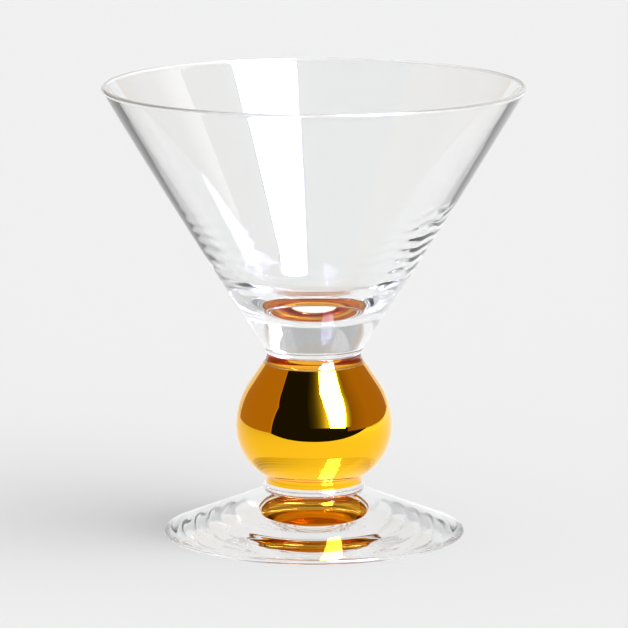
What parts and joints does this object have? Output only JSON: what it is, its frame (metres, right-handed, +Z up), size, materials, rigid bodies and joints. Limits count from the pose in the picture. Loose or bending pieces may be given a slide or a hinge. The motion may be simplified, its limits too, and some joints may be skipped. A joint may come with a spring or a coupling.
{
  "type": "martini glass",
  "caption": "Short-stemmed martini glass: conical crystal bowl with a solid base, gilded ball knop with clear collars, and a shallow cone foot.",
  "frame": {"origin": "centre of the plane that the foot rests on", "axes": "+Z up along the glass's axis of revolution, from the foot to the rim; +X to the right seen from the front"},
  "size_m": [0.107, 0.107, 0.115],
  "materials": {
    "bowl_crystal": "clear fire-polished crystal",
    "collar_crystal": "clear fire-polished crystal",
    "knop_crystal": "clear crystal, bare at the neck and under the gold elsewhere",
    "gold_film": "bright fired gold lustre, mirror smooth",
    "foot_crystal": "clear fire-polished crystal with tooled ripples"
  },
  "bodies": {
    "root": {"bowl": "bowl_crystal", "upper_merese": "collar_crystal", "knop": "knop_crystal", "gold_lustre": "gold_film", "lower_merese": "collar_crystal", "foot": "foot_crystal"}
  },
  "joints": []
}
